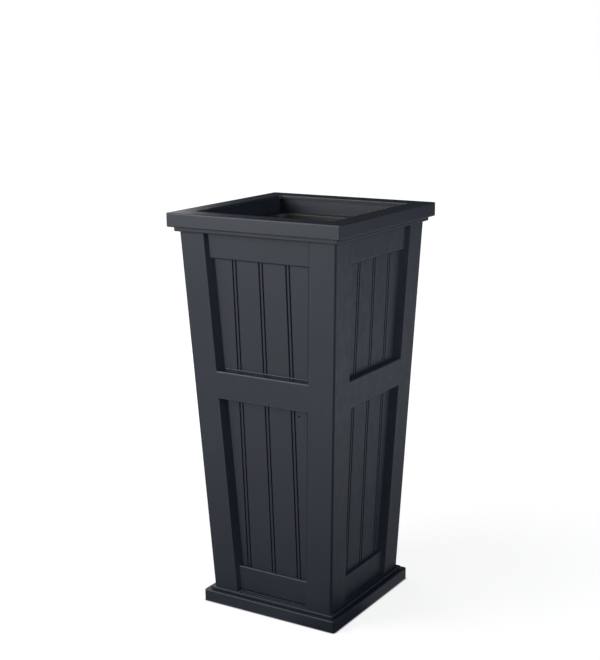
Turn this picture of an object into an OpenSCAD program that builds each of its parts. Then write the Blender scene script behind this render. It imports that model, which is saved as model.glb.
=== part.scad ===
// Tall tapered planter built as a joiner builds it: four leaning sides, each of two
// mitred stiles, three rails and two beadboard panels, round an inner frame of posts
// and cleats, with a cap at the mouth, a plinth at the foot and a lift-out liner.
// Front is -Y and right is +X. The origin is on the ground, under the centre.
// Left and right in the names are as seen when facing that side from outside.

/* [Overall] */
// Height from the ground to the top of the cap
height = 813; // [760:1:880]
// Width of the body at the top of its walls
body_top_w = 352.5; // [340:0.5:370]
// Width of the body on the ground
body_foot_w = 279; // [268:0.5:292]
// Gap under the plinth, which the foot pads lift off the ground
ground_gap = 1; // [0.5:0.5:3]

/* [Sides] */
// Thickness of the stiles and of the whole wall
wall_t = 22; // [20:0.5:25]
// Width of a stile on the face
stile_w = 58; // [50:0.5:66]
// Radius of the outer corners of the body
corner_r = 4.8; // [3:0.2:7]
// Height of the mid rail on the face
mid_rail_h = 56; // [48:1:68]
// Height of the lower window, from the bottom rail to the mid rail
lower_window_h = 362; // [330:1:390]
// Height of the top rail below the fascia
top_rail_h = 58; // [45:1:75]
// Height of the bottom rail that shows above the plinth
bottom_rail_h = 55; // [45:1:70]
// Set-back of the top and bottom rails behind the stiles
rail_setback = 7.5; // [5:0.5:10]
// How far a stile's inner edge slopes in over the depth of the window
stile_slope = 9.5; // [6:0.5:12]
// How far a sill rises over the depth of the window
sill_rise = 4.5; // [2:0.5:7]
// Height of the sloping toe at the bottom rail's foot
toe_h = 4; // [2:0.5:8]
// Set-back of the toe behind the stiles, down inside the plinth
toe_gap = 0.5; // [0.3:0.1:1.5]
// Width of the rebate behind each window edge
rebate_w = 9; // [7:0.5:11]
// Gap between the rails' tongues and the stiles' rebates, front to back
tongue_gap = 0.2; // [0.1:0.05:0.5]

/* [Beadboard panels] */
// Depth of the panels' face behind the stiles
panel_depth = 14.5; // [12.5:0.5:16.5]
// Gap round the panels in their rebates
panel_gap = 0.5; // [0.3:0.1:1]
// Spacing of the beads, which is the width of one board
board_w = 60; // [50:1:64]
// Number of beads on a panel
bead_count = 3; // [1:1:3]
// Width of a bead
bead_w = 5.6; // [4:0.2:7]
// Width of the groove on each side of a bead
groove_w = 1.8; // [1.2:0.1:2.4]
// Depth of the grooves
groove_d = 2.4; // [1.5:0.1:3.5]
// Radius of the small vent in the front lower panel
vent_r = 1.5; // [1:0.1:2.5]
// Distance of the vent past the outer bead
vent_in = 14; // [10:1:18]
// Depth of the vent below the mid rail
vent_drop = 15.5; // [10:0.5:24]

/* [Cap] */
// Height of the cap's fascia
fascia_h = 27.5; // [22:0.5:34]
// Thickness of the cap's top plate
cap_t = 8; // [6:0.5:10]
// How far the cap stands out from the top of the walls
cap_overhang = 16.25; // [13:0.25:22]
// Radius of the cap's outer corners
cap_r = 3; // [2:0.5:8]
// How far the cap overhangs the walls on the inside
cap_lip = 2.5; // [1.5:0.5:4]
// Radius of the corners of the mouth
mouth_r = 6; // [3:0.5:9]
// How far the moulding under the cap stands out from the top of the walls
cap_moulding_out = 6.5; // [4:0.25:8]
// Height of the moulding that shows below the fascia
cap_moulding_h = 9; // [6:0.5:12]

/* [Plinth] */
// Height of the plinth band's top
plinth_h = 25; // [20:0.5:29]
// How far the plinth band stands out from the body's foot
plinth_out = 17.5; // [14:0.25:24]
// Radius of the plinth's outer corners
plinth_r = 3; // [2:0.5:8]
// Height of the moulding on top of the plinth band
plinth_moulding_h = 6; // [4:0.5:10]
// How far that moulding stands out from the body's foot
plinth_moulding_out = 8; // [5:0.25:11]
// Gap between the body and the rings that fit round it
ring_gap = 0.25; // [0.15:0.05:0.6]

/* [Inner frame] */
// Width of the square corner posts
post_w = 20; // [18:0.5:22]
// Thickness of the cleats that carry the liner
cleat_t = 14; // [12:0.5:17]
// Height of the cleats
cleat_h = 20; // [16:1:28]
// Gap at the ends of the cleats
cleat_gap = 0.5; // [0.3:0.1:1]
// Height of the floor's underside above the ground
floor_z = 8; // [6:0.5:12]
// Thickness of the floor
floor_t = 15; // [12:0.5:20]
// Gap round the floor
floor_gap = 0.4; // [0.2:0.1:0.8]
// Radius of the drain holes in the floor
floor_drain_r = 7; // [5:0.5:10]
// Distance of the outer drain holes from the centre, along X and along Y
floor_drain_at = 50; // [40:1:60]
// Radius of the foot pads
pad_r = 16; // [12:0.5:18]
// Distance of the foot pads from the centre, along X and along Y
pad_at = 86; // [78:1:88]
// Radius of the stud on a foot pad
pad_stud_r = 3; // [2:0.5:5]
// Length of the stud in the floor
pad_stud_l = 8; // [5:0.5:10]

/* [Liner] */
// Depth of the liner's flange below the top of the cap
liner_drop = 38; // [34:1:48]
// Depth of the tub below its flange
tub_depth = 360; // [320:1:400]
// Wall thickness of the tub
tub_t = 3; // [2:0.25:4]
// Thickness of the flange
flange_t = 3.5; // [2.5:0.25:5]
// Gap between the flange and the mouth of the cap
flange_gap = 1.5; // [1:0.25:3]
// Gap between the tub and the cleats
tub_gap = 2.5; // [1.5:0.25:4]
// Radius of the tub's upright corners, outside, at its floor
tub_r = 20; // [16:1:30]
// Radius of the drain in the tub's floor
drain_r = 9; // [7:0.5:12]
// Wall of the boss round the drain
boss_wall = 6; // [4:0.5:8]
// Length of the boss below the tub
boss_h = 9; // [6:0.5:14]
// Running gap round the drain plug
plug_gap = 0.1; // [0.05:0.05:0.3]
// Gap under the boss, above the plug's head
plug_seat_gap = 0.3; // [0.2:0.1:0.5]
// Thickness of the plug's head
plug_head_t = 4; // [3:0.5:6]
// How far the plug's head stands out past its stem
plug_head_out = 4; // [3:0.5:6]

/* [Screws] */
// Radius of the screws' shanks
screw_r = 2; // [1.5:0.1:2.5]
// Radius of the screws' heads
screw_head_r = 4; // [3.2:0.1:4.5]
// Depth of the countersunk heads
screw_head_h = 2.6; // [2:0.1:3.2]
// Gap between a shank and its hole
screw_gap = 0.05; // [0.03:0.01:0.1]
// Number of screws through a post into each stile
post_screw_count = 3; // [2:1:4]
// How far a screw bites into a stile
screw_bite = 13; // [8:0.5:15]
// Distance of the end screws from the ends of a post
post_screw_end = 60; // [45:1:90]
// Height between the screws of a post's two sides
post_screw_stagger = 18; // [12:1:28]
// Distance of the cleat screws from the posts
cleat_screw_in = 8; // [6:0.5:10]
// How far a floor screw bites into a post
floor_screw_bite = 22; // [15:1:30]

/* [Hidden] */
$fn = 64;

shell_colour = "#3c3f45";
board_colour = "#36393f";
frame_colour = "#8d8676";
liner_colour = "#1f2124";
rubber_colour = "#141414";
screw_colour = "#b9bcc0";

// Sides by number
FRONT = 0;
RIGHT = 1;
BACK = 2;
LEFT = 3;
// Hands by sign
LEFT_HAND = -1;
RIGHT_HAND = 1;

// Levels
wall_top_z = height - cap_t;
fascia_z = height - fascia_h;
cap_moulding_z = fascia_z - cap_moulding_h;
plinth_top_z = plinth_h + plinth_moulding_h;
floor_top_z = floor_z + floor_t;
bottom_rail_z = plinth_top_z + bottom_rail_h;
mid_rail_z = bottom_rail_z + lower_window_h;
mid_rail_top_z = mid_rail_z + mid_rail_h;
top_rail_z = fascia_z - top_rail_h;
flange_z = height - liner_drop;
tub_z = flange_z - tub_depth;

// Lean of the sides and, within a side, of its edges
lean = atan((body_top_w - body_foot_w) / 2 / wall_top_z);
edge_lean = atan(sin(lean));
// Spare length past each end of a leaning board, before the levels cut it
stock = 40;
side_l = wall_top_z / cos(lean) / cos(edge_lean) + 2 * stock;
// How far the cutting shapes reach, past the planter on every side
reach = body_top_w;
// How far a cut runs past the face that it opens
past = 1;

// Half widths and levels that follow the lean
function half_w(z) = body_foot_w / 2 + z * tan(lean);
function behind(z, depth) = half_w(z) - depth / cos(lean);
function up_face(z) = z / cos(lean);

rebate_u = stile_w + stile_slope - rebate_w;
setback_rise = sill_rise * (panel_depth - rail_setback) / panel_depth;
back_lap = rebate_w - sill_rise;

cap_half = body_top_w / 2 + cap_overhang;
cap_moulding_half = body_top_w / 2 + cap_moulding_out;
mouth_half = behind(wall_top_z, wall_t) - cap_lip;
plinth_half = body_foot_w / 2 + plinth_out;
plinth_moulding_half = body_foot_w / 2 + plinth_moulding_out;
floor_half = behind(floor_z, wall_t) - floor_gap;

flange_half = mouth_half - flange_gap;
tub_inset = wall_t + cleat_t + tub_gap;
tub_centre = behind(tub_z, tub_inset) - tub_r;
plug_r = drain_r - plug_gap;
plug_top_z = tub_z + tub_t / 2;
plug_seat_z = tub_z - boss_h - plug_seat_gap;

post_screw_l = post_w + screw_bite;
cleat_screw_l = cleat_t + screw_bite;
floor_screw_l = floor_t + floor_screw_bite;
post_z0 = floor_top_z;
post_z1 = flange_z;
post_centre = wall_t + post_w / 2;

// A square of width w with rounded corners
module rounded_square(w, r) {
    square([w, w - 2 * r], center = true);
    square([w - 2 * r, w], center = true);
    for (x = [-1, 1], y = [-1, 1])
        translate([x * (w / 2 - r), y * (w / 2 - r)]) circle(r);
}

// Everything between two levels
module between(z0, z1) {
    translate([-reach, -reach, z0]) cube([2 * reach, 2 * reach, z1 - z0]);
}

// The frame of one side: x along the side, y into the wall, z up the leaning face
module on_side(side) {
    rotate([0, 0, 90 * side])
        translate([0, -body_foot_w / 2, 0])
            rotate([lean, 0, 0]) children();
}

// The frame of a side's edge: -x in from the edge, y into the wall, z up the edge
module on_edge(side, hand) {
    on_side(side)
        mirror([hand < 0 ? 1 : 0, 0, 0])
            translate([body_foot_w / 2, 0, 0])
                rotate([0, edge_lean, 0]) children();
}

// A leaning slab of a side between two depths
module slab(side, depth0, depth1) {
    on_side(side)
        translate([-reach, depth0, -stock])
            cube([2 * reach, depth1 - depth0, side_l]);
}

// The quarter of the planter that one side fills, cut at the mitres
module quarter(side) {
    rotate([0, 0, 90 * side])
        linear_extrude(height)
            polygon([[0, 0], [-reach, -reach], [reach, -reach]]);
}

// Outline of a stile's inner edge, as distances in from the edge and depths. A gap puts
// the rebate that much deeper, for what lies in it.
function inner_edge(gap = 0) = let (rebate_at = panel_depth + gap) [
    [-stile_w, 0],
    [-stile_w - stile_slope * rebate_at / panel_depth, rebate_at],
    [-rebate_u, rebate_at],
    [-rebate_u, wall_t]
];

// A block between two levels that follows the lean of the sides at a depth behind them,
// with its corners rounded to centres at a distance from the axis. The corners are
// upright cones, so they run smoothly into the sides.
module tapered_block(depth, centre, z0, z1) {
    half0 = behind(z0, depth);
    half1 = behind(z1, depth);
    for (turn = [0, 90])
        rotate([90, 0, turn])
            linear_extrude(2 * centre, center = true)
                polygon([[-half0, z0], [half0, z0], [half1, z1], [-half1, z1]]);
    for (x = [-1, 1], y = [-1, 1])
        translate([x * centre, y * centre, z0])
            cylinder(r1 = half0 - centre, r2 = half1 - centre, h = z1 - z0);
}

// The body between two levels, grown by a gap
module body_core(gap, z0, z1) {
    tapered_block(-gap, half_w(z1) - corner_r, z0, z1);
}

// A countersunk screw, its head at the origin and its shank along z. As a hole it has a
// gap all round and opens past the face that the head lies flush in.
module screw(l, hole = false) {
    gap = hole ? screw_gap : 0;
    mouth = hole ? past : 0;
    rotate_extrude()
        polygon([
            [0, -mouth],
            [screw_head_r + gap, -mouth],
            [screw_head_r + gap, 0],
            [screw_r + gap, screw_head_h],
            [screw_r + gap, l + gap],
            [0, l + gap]
        ]);
}

// The screws through a post into one stile
module post_screw_set(side, hand, hole = false) {
    run = post_z1 - post_z0 - 2 * post_screw_end - post_screw_stagger;
    shift = side % 2 == 0 ? 0 : post_screw_stagger;
    for (i = [0:post_screw_count - 1])
        on_edge(side, hand)
            translate([-post_centre, wall_t + post_w,
                       up_face(post_z0 + post_screw_end + shift + i * run / (post_screw_count - 1))])
                rotate([90, 0, 0]) screw(post_screw_l, hole);
}

// The screw through one end of a cleat into a stile
module cleat_screw(side, hand, hole = false) {
    on_edge(side, hand)
        translate([-(wall_t + post_w + cleat_screw_in), wall_t + cleat_t,
                   up_face(flange_z - cleat_h / 2)])
            rotate([90, 0, 0]) screw(cleat_screw_l, hole);
}

// The screw up through the floor into the post between a side and the next one
module floor_screw(side, hole = false) {
    at = behind(floor_top_z, post_centre);
    rotate([0, 0, 90 * side])
        translate([at, -at, floor_z]) screw(floor_screw_l, hole);
}

// A stile, with its sloped and rebated inner edge, rounded outer corner and mitre
module stile(side, hand) {
    color(shell_colour)
    difference() {
        intersection() {
            quarter(side);
            between(ground_gap, wall_top_z);
            on_edge(side, hand)
                translate([0, 0, -stock])
                    linear_extrude(side_l)
                        difference() {
                            polygon(concat([[0, 0]], inner_edge(), [[0, wall_t]]));
                            rounding();
                        }
        }
        post_screw_set(side, hand, hole = true);
        cleat_screw(side, hand, hole = true);
    }
}

// What the rounding takes off a corner at the origin
module rounding() {
    difference() {
        translate([-corner_r, -corner_r]) square(2 * corner_r);
        translate([-corner_r, corner_r]) circle(corner_r);
        translate([-2 * corner_r, corner_r]) square(3 * corner_r);
    }
}

// The space between a side's two stiles, open past the face and the back of the wall
module bay(side) {
    intersection_for (hand = [LEFT_HAND, RIGHT_HAND])
        on_edge(side, hand)
            translate([0, 0, -stock])
                linear_extrude(side_l)
                    polygon(concat(
                        [[-reach, -past], [-stile_w, -past]],
                        inner_edge(tongue_gap),
                        [[-rebate_u, wall_t + past], [-reach, wall_t + past]]
                    ));
}

// A rail of a side, from a section of depths and heights up the face
module rail(side, section) {
    color(shell_colour)
    intersection() {
        bay(side);
        between(ground_gap, wall_top_z);
        on_side(side)
            rotate([90, 0, 90])
                linear_extrude(2 * reach, center = true) polygon(section);
    }
}

// The set-back rail under the cap, its foot sloping in to the upper panel
module top_rail(side) {
    foot = up_face(top_rail_z);
    rail(side, [
        [rail_setback, foot],
        [panel_depth, foot - setback_rise],
        [panel_depth, foot - setback_rise + rebate_w],
        [wall_t, foot - setback_rise + rebate_w],
        [wall_t, side_l],
        [rail_setback, side_l]
    ]);
}

// The rail flush with the stiles, with a sloping sill above and below
module mid_rail(side) {
    foot = up_face(mid_rail_z);
    sill = up_face(mid_rail_top_z);
    rail(side, [
        [0, foot],
        [panel_depth, foot - sill_rise],
        [panel_depth, foot + back_lap],
        [wall_t, foot + back_lap],
        [wall_t, sill - back_lap],
        [panel_depth, sill - back_lap],
        [panel_depth, sill + sill_rise],
        [0, sill]
    ]);
}

// The set-back rail at the foot, its toe sloping out to the plinth
module bottom_rail(side) {
    foot = up_face(plinth_top_z);
    sill = up_face(bottom_rail_z);
    rail(side, [
        [rail_setback, foot + toe_h],
        [toe_gap, foot],
        [toe_gap, -stock],
        [wall_t, -stock],
        [wall_t, sill + setback_rise - rebate_w],
        [panel_depth, sill + setback_rise - rebate_w],
        [panel_depth, sill + setback_rise],
        [rail_setback, sill]
    ]);
}

// The grooves beside one bead, as a section of widths and depths
module bead_grooves() {
    difference() {
        translate([-bead_w / 2 - groove_w, panel_depth - groove_d])
            square([bead_w + 2 * groove_w, 2 * groove_d]);
        translate([0, panel_depth + bead_w / 2]) circle(bead_w / 2);
        translate([-bead_w / 2, panel_depth + bead_w / 2]) square([bead_w, groove_d]);
    }
}

// A beadboard panel between two heights up the face, in the rebates round its window
module panel(side, v0, v1) {
    color(board_colour)
    difference() {
        intersection() {
            intersection_for (hand = [LEFT_HAND, RIGHT_HAND])
                on_edge(side, hand)
                    translate([-reach, 0, -stock])
                        cube([reach - rebate_u - panel_gap, wall_t + past, side_l]);
            on_side(side)
                translate([-reach, panel_depth, v0 + panel_gap])
                    cube([2 * reach, wall_t - panel_depth, v1 - v0 - 2 * panel_gap]);
        }
        for (i = [0:bead_count - 1])
            on_side(side)
                translate([(i - (bead_count - 1) / 2) * board_w, 0, 0])
                    linear_extrude(side_l) bead_grooves();
    }
}

// The panel between the mid rail and the top rail
module upper_panel(side) {
    panel(side, up_face(mid_rail_top_z) - back_lap,
          up_face(top_rail_z) - setback_rise + rebate_w);
}

// The panel between the bottom rail and the mid rail
module lower_panel(side) {
    panel(side, up_face(bottom_rail_z) + setback_rise - rebate_w,
          up_face(mid_rail_z) + back_lap);
}

// The front lower panel has a small vent near its top right corner
module front_lower_panel() {
    color(board_colour)
    difference() {
        lower_panel(FRONT);
        on_side(FRONT)
            translate([board_w + vent_in, wall_t + past, up_face(mid_rail_z) - vent_drop])
                rotate([90, 0, 0]) cylinder(r = vent_r, h = wall_t);
    }
}

// The post in the corner between a side and the next one
module post(side) {
    color(frame_colour)
    difference() {
        intersection() {
            slab(side, wall_t, wall_t + post_w);
            slab(side + 1, wall_t, wall_t + post_w);
            between(post_z0, post_z1);
        }
        post_screw_set(side, RIGHT_HAND, hole = true);
        post_screw_set(side + 1, LEFT_HAND, hole = true);
        floor_screw(side, hole = true);
    }
}

// The ledge along one side that the liner's flange rests on
module cleat(side) {
    color(frame_colour)
    difference() {
        intersection() {
            slab(side, wall_t, wall_t + cleat_t);
            slab(side + 1, wall_t + post_w + cleat_gap, reach);
            slab(side + 3, wall_t + post_w + cleat_gap, reach);
            between(flange_z - cleat_h, flange_z);
        }
        for (hand = [LEFT_HAND, RIGHT_HAND]) cleat_screw(side, hand, hole = true);
    }
}

// The top plate with its fascia
module cap() {
    color(shell_colour)
    difference() {
        translate([0, 0, fascia_z])
            linear_extrude(fascia_h) rounded_square(2 * cap_half, cap_r);
        translate([0, 0, fascia_z - past])
            linear_extrude(fascia_h - cap_t + past)
                rounded_square(2 * (cap_moulding_half + ring_gap), cap_r);
        translate([0, 0, fascia_z])
            linear_extrude(fascia_h + past) rounded_square(2 * mouth_half, mouth_r);
    }
}

// The thin moulding between the fascia and the walls
module cap_moulding() {
    color(shell_colour)
    difference() {
        translate([0, 0, cap_moulding_z])
            linear_extrude(wall_top_z - cap_moulding_z)
                rounded_square(2 * cap_moulding_half, cap_r);
        body_core(ring_gap, cap_moulding_z - past, wall_top_z + past);
    }
}

// The band round the foot, clear of the ground
module plinth_band() {
    color(shell_colour)
    difference() {
        translate([0, 0, ground_gap])
            linear_extrude(plinth_h - ground_gap)
                rounded_square(2 * plinth_half, plinth_r);
        body_core(ring_gap, 0, plinth_h + past);
    }
}

// The thin moulding that lies on the band
module plinth_moulding() {
    color(shell_colour)
    difference() {
        translate([0, 0, plinth_h])
            linear_extrude(plinth_moulding_h)
                rounded_square(2 * plinth_moulding_half, plinth_r);
        body_core(ring_gap, plinth_h - past, plinth_top_z + past);
    }
}

// The floor, with its drain holes and the holes for screws and pads
module floor_panel() {
    color(frame_colour)
    difference() {
        translate([-floor_half, -floor_half, floor_z])
            cube([2 * floor_half, 2 * floor_half, floor_t]);
        translate([0, 0, floor_z - past])
            cylinder(r = floor_drain_r, h = floor_t + 2 * past);
        for (side = [FRONT:LEFT]) {
            floor_screw(side, hole = true);
            rotate([0, 0, 90 * side]) {
                translate([floor_drain_at, floor_drain_at, floor_z - past])
                    cylinder(r = floor_drain_r, h = floor_t + 2 * past);
                translate([pad_at, -pad_at, 0])
                    cylinder(r = pad_stud_r + screw_gap, h = floor_z + pad_stud_l + screw_gap);
            }
        }
    }
}

// The pads that the planter stands on, each with a stud up into the floor
module foot_pads() {
    color(rubber_colour)
    for (side = [FRONT:LEFT])
        rotate([0, 0, 90 * side])
            translate([pad_at, -pad_at, 0]) {
                cylinder(r = pad_r, h = floor_z);
                cylinder(r = pad_stud_r, h = floor_z + pad_stud_l);
            }
}

module post_screws() {
    color(screw_colour)
    for (side = [FRONT:LEFT], hand = [LEFT_HAND, RIGHT_HAND])
        post_screw_set(side, hand);
}

module cleat_screws() {
    color(screw_colour)
    for (side = [FRONT:LEFT], hand = [LEFT_HAND, RIGHT_HAND])
        cleat_screw(side, hand);
}

module floor_screws() {
    color(screw_colour)
    for (side = [FRONT:LEFT]) floor_screw(side);
}

// The lift-out tub, which hangs by its flange from the cleats and the posts
module liner() {
    color(liner_colour)
    difference() {
        union() {
            tapered_block(tub_inset, tub_centre, tub_z, flange_z + flange_t);
            translate([0, 0, flange_z])
                linear_extrude(flange_t) rounded_square(2 * flange_half, mouth_r);
            translate([0, 0, tub_z - boss_h])
                cylinder(r = drain_r + boss_wall, h = boss_h + tub_t);
        }
        tapered_block(tub_inset + tub_t, tub_centre, tub_z + tub_t, flange_z + flange_t + past);
        translate([0, 0, tub_z - boss_h - past])
            cylinder(r = drain_r, h = boss_h + tub_t + 2 * past);
    }
}

// The plug, its stem in the drain and its head below the boss
module drain_plug() {
    color(rubber_colour) {
        translate([0, 0, plug_seat_z]) cylinder(r = plug_r, h = plug_top_z - plug_seat_z);
        translate([0, 0, plug_seat_z - plug_head_t])
            cylinder(r = plug_r + plug_head_out, h = plug_head_t);
    }
}

stile(FRONT, LEFT_HAND);  // front_left_stile
stile(FRONT, RIGHT_HAND);  // front_right_stile
stile(RIGHT, LEFT_HAND);  // right_left_stile
stile(RIGHT, RIGHT_HAND);  // right_right_stile
stile(BACK, LEFT_HAND);  // back_left_stile
stile(BACK, RIGHT_HAND);  // back_right_stile
stile(LEFT, LEFT_HAND);  // left_left_stile
stile(LEFT, RIGHT_HAND);  // left_right_stile
top_rail(FRONT);  // front_top_rail
top_rail(RIGHT);  // right_top_rail
top_rail(BACK);  // back_top_rail
top_rail(LEFT);  // left_top_rail
mid_rail(FRONT);  // front_mid_rail
mid_rail(RIGHT);  // right_mid_rail
mid_rail(BACK);  // back_mid_rail
mid_rail(LEFT);  // left_mid_rail
bottom_rail(FRONT);  // front_bottom_rail
bottom_rail(RIGHT);  // right_bottom_rail
bottom_rail(BACK);  // back_bottom_rail
bottom_rail(LEFT);  // left_bottom_rail
upper_panel(FRONT);  // front_upper_panel
upper_panel(RIGHT);  // right_upper_panel
upper_panel(BACK);  // back_upper_panel
upper_panel(LEFT);  // left_upper_panel
front_lower_panel();
lower_panel(RIGHT);  // right_lower_panel
lower_panel(BACK);  // back_lower_panel
lower_panel(LEFT);  // left_lower_panel
post(FRONT);  // front_right_post
post(RIGHT);  // back_right_post
post(BACK);  // back_left_post
post(LEFT);  // front_left_post
cleat(FRONT);  // front_cleat
cleat(RIGHT);  // right_cleat
cleat(BACK);  // back_cleat
cleat(LEFT);  // left_cleat
cap();
cap_moulding();
plinth_band();
plinth_moulding();
floor_panel();
foot_pads();
post_screws();
cleat_screws();
floor_screws();
liner();
drain_plug();
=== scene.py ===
"""Tall tapered planter: the finished pieces, materials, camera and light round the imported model.

Lengths are in millimetres, and MM turns them into metres where Blender takes them. The
stage, its lamps, the depths of bumps and the welding distances are in metres. Sides and
frames are those of the CAD source: front is -Y, right is +X, and the origin is on the ground.
"""
import math

import bmesh
import bpy
from mathutils import Matrix, Vector


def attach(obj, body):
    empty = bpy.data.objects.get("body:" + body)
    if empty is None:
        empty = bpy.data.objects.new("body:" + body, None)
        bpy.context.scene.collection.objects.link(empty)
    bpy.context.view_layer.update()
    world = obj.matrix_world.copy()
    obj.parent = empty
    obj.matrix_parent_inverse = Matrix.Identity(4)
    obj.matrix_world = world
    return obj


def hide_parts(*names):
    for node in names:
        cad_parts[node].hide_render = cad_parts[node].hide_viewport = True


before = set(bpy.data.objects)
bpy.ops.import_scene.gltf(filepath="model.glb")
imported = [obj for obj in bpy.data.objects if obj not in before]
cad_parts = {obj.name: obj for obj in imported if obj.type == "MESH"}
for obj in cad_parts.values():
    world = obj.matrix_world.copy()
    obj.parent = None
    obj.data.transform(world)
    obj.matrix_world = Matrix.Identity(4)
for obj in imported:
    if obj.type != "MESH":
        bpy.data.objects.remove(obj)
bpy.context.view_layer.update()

# One millimetre, in metres
MM = 0.001

# Sizes of the CAD source
HEIGHT = 813
BODY_TOP_W = 352.5
BODY_FOOT_W = 279
GROUND_GAP = 1
WALL_T = 22
STILE_W = 58
CORNER_R = 4.8
TOP_RAIL_H = 58
MID_RAIL_H = 56
BOTTOM_RAIL_H = 55
LOWER_WINDOW_H = 362
RAIL_SETBACK = 7.5
STILE_SLOPE = 9.5
SILL_RISE = 4.5
TOE_H = 4
TOE_GAP = 0.5
REBATE_W = 9
TONGUE_GAP = 0.2
PANEL_DEPTH = 14.5
PANEL_GAP = 0.5
BOARD_W = 60
BEAD_W = 5.6
GROOVE_W = 1.8
GROOVE_D = 2.4
VENT_R = 1.5
VENT_IN = 14
VENT_DROP = 15.5
FASCIA_H = 27.5
CAP_T = 8
CAP_OVERHANG = 16.25
CAP_R = 3
CAP_LIP = 2.5
MOUTH_R = 6
CAP_MOULDING_OUT = 6.5
CAP_MOULDING_H = 9
PLINTH_H = 25
PLINTH_OUT = 17.5
PLINTH_R = 3
PLINTH_MOULDING_H = 6
PLINTH_MOULDING_OUT = 8
RING_GAP = 0.25
POST_W = 20
CLEAT_T = 14
CLEAT_H = 20
FLOOR_Z = 8
FLOOR_T = 15
PAD_R = 16
PAD_AT = 86
PAD_STUD_R = 3
PAD_STUD_L = 8
LINER_DROP = 38
TUB_DEPTH = 360
TUB_T = 3
FLANGE_T = 3.5
FLANGE_GAP = 1.5
TUB_GAP = 2.5
TUB_R = 20
DRAIN_R = 9
BOSS_WALL = 6
BOSS_H = 9
PLUG_GAP = 0.1
PLUG_SEAT_GAP = 0.3
PLUG_HEAD_T = 4
PLUG_HEAD_OUT = 4
SCREW_R = 2
SCREW_HEAD_R = 4
SCREW_HEAD_H = 2.6
POST_SCREW_COUNT = 3
SCREW_BITE = 13
POST_SCREW_END = 60
POST_SCREW_STAGGER = 18
CLEAT_SCREW_IN = 8
FLOOR_SCREW_BITE = 22

WALL_TOP_Z = HEIGHT - CAP_T
FASCIA_Z = HEIGHT - FASCIA_H
CAP_MOULDING_Z = FASCIA_Z - CAP_MOULDING_H
PLINTH_TOP_Z = PLINTH_H + PLINTH_MOULDING_H
BOTTOM_RAIL_Z = PLINTH_TOP_Z + BOTTOM_RAIL_H
MID_RAIL_Z = BOTTOM_RAIL_Z + LOWER_WINDOW_H
MID_RAIL_TOP_Z = MID_RAIL_Z + MID_RAIL_H
TOP_RAIL_Z = FASCIA_Z - TOP_RAIL_H
FLANGE_Z = HEIGHT - LINER_DROP
TUB_Z = FLANGE_Z - TUB_DEPTH
LEAN_RUN = (BODY_TOP_W - BODY_FOOT_W) / 2 / WALL_TOP_Z
LEAN = math.atan(LEAN_RUN)
EDGE_LEAN = math.atan(math.sin(LEAN))
REBATE_U = STILE_W + STILE_SLOPE - REBATE_W
SETBACK_RISE = SILL_RISE * (PANEL_DEPTH - RAIL_SETBACK) / PANEL_DEPTH
BACK_LAP = REBATE_W - SILL_RISE

SIDES = ("front", "right", "back", "left")
HANDS = {"left": -1, "right": 1}

# The finished stiles are a little narrower than their solids, with wider reveals
STILE_FACE_W = 56.7
REVEAL_RUN = 11.1
# The finished sills are a little flatter than the rails' solids
SILL_FALL = 2.7

# The bottom rails' toe: a ledge, a small bead above it and a quirk behind the bead
LEDGE_W = 5.4
LEDGE_RISE = 0.3
LEDGE_ARRIS = 0.6
TOE_BEAD_H = TOE_H / 2
TOE_BEAD_ARRIS = 0.3
TOE_QUIRK_D = 1.8
TOE_QUIRK_RISE = 0.5
TOE_TOP_ARRIS = 0.5

# The plinth's foot, just clear of the ground, the round of its corners, the dark slot under
# its moulding and the quirk in front of the slot
FOOT_Z = 0.3
PLINTH_ROUND = 4.5
SLOT_H = 1.3
SLOT_IN = 3
QUIRK_W = 1
QUIRK_D = 1.2

# Radii of the softened arrises. The stiles' arris all but shuts beside the mid rail, which
# is flush with them.
STILE_ARRIS = 0.8
SHUT_ARRIS = 0.08
ARRIS_FADE = 2.5
TOP_RAIL_ARRIS = 3.6
MID_RAIL_ARRIS = 2.2
BOTTOM_RAIL_ARRIS = 1.76
CAP_FOOT_ARRIS = 2.4
CAP_TOP_ARRIS = 2.0
CAP_MOULDING_ARRIS = 2.8
PLINTH_FOOT_ARRIS = 1.4
PLINTH_TOP_ARRIS = 1.8
PLINTH_MOULDING_ARRIS = 1.2
# The cove between a mid rail's sill and its panel
COVE = 1.6

# How much painted highlight an arris gets, where it covers half of the arris at 1 and all of it
# at 2, and how far beside the arris the painted highlight fades out
STILE_PAINTED_HIGHLIGHT = 0.3
MID_RAIL_PAINTED_HIGHLIGHT = 2.0
BEAD_PAINTED_HIGHLIGHT = 0.4
PLINTH_PAINTED_HIGHLIGHT = 0.15
HIGHLIGHT_FADE = 1.6
LINER_HIGHLIGHT_FADE = 1.0
RUBBER_EDGE_FADE = 0.5

# The beadboard: the rounded lips of its grooves, the flat strip beside them, how far the
# sides of a groove slope, and the power that flattens the crowns of the beads
LIP_R = 1.6
LIP_TURN = math.radians(75)
LIP_STEPS = 6
LIP_MARGIN = 1.0
GROOVE_SLOPE = 0.1
CROWN = 0.6
CROWN_STEPS = 12

# The vent's eased mouth, and how far its drill runs past the faces that it opens
VENT_EASE = 0.5
DRILL_RUN = 1

# The rounds of the liner, its plug and the pads
TUB_FLOOR_R = 5
TUB_FOOT_R = 6
TUB_MOUTH_R = 2.5
FLANGE_TOP_R = 1.2
FLANGE_EDGE_R = 0.8
FLANGE_NECK_R = 1.5
DRAIN_EDGE_R = 1.0
BOSS_NECK_R = 1.5
PLUG_TIP_R = 1.5
PLUG_HEAD_TOP_R = 0.8
PLUG_HEAD_FOOT_R = 1.2
PAD_FOOT_R = 1.5
PAD_TOP_R = 0.6
PAD_STUD_TIP_R = 0.5

# How far the edges of the inner frame are eased
TIMBER_EASE = 1.0
FLOOR_EASE = 0.6

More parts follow.
